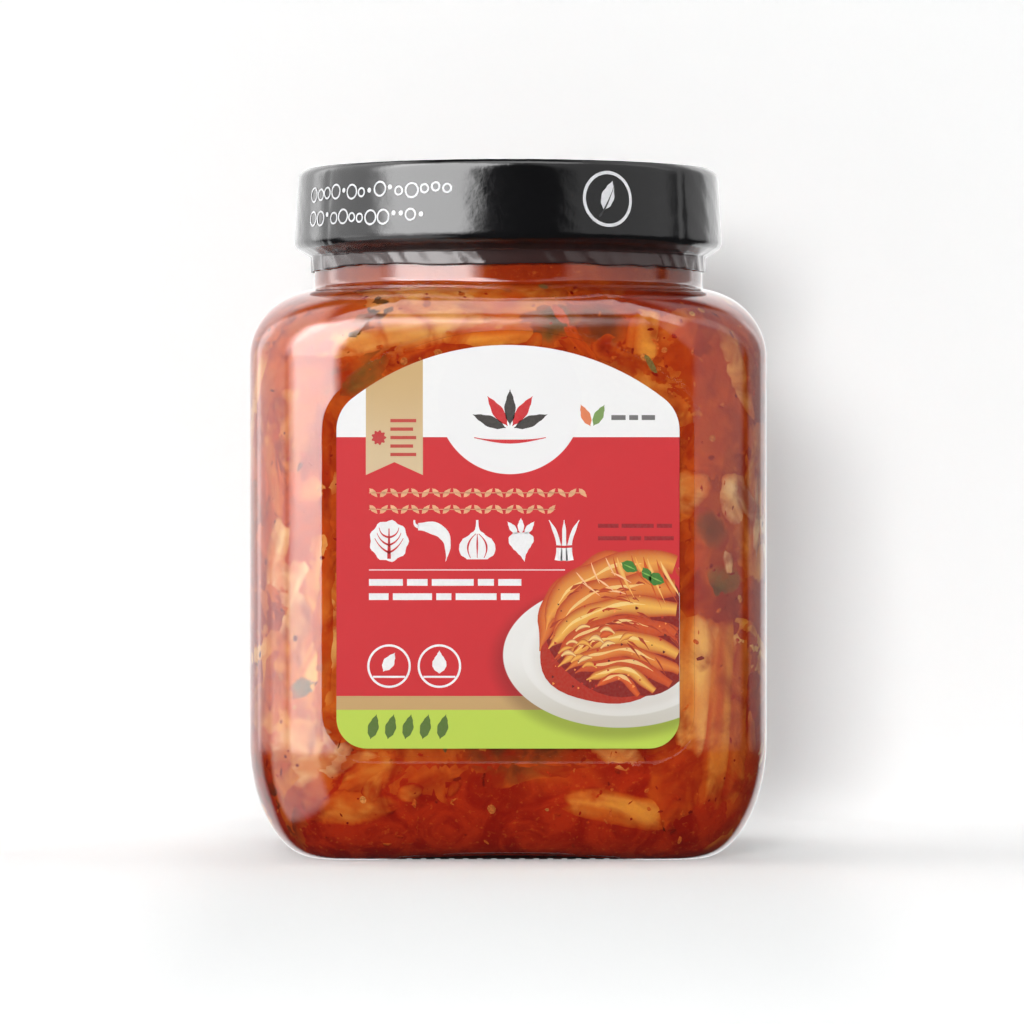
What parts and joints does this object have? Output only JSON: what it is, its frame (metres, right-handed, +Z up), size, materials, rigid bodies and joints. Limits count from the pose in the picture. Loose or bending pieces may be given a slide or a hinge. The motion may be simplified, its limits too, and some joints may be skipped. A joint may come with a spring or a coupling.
{
  "type": "kimchi jar",
  "caption": "Square clear plastic jar filled with red pickled cabbage, with a black screw cap under a black shrink band and an arched front label in a flat panel",
  "frame": {"origin": "middle of the standing face, at the bottom centre of the jar", "axes": "+Z up, the label faces -Y, +X to the right of a person who looks at the label"},
  "size_m": [0.118, 0.118, 0.1589],
  "materials": {
    "clear_plastic": "clear glossy blow-moulded plastic",
    "kimchi": "wet cabbage in red pepper sauce, stands in as glossy",
    "black_plastic": "black moulded plastic",
    "black_film": "thin glossy black shrink film",
    "label": "satin printed label in red, white and green fields"
  },
  "bodies": {
    "root": {"jar": "clear_plastic", "kimchi": "kimchi", "cap": "black_plastic", "shrink_band": "black_film", "front_label": "label"}
  },
  "joints": []
}
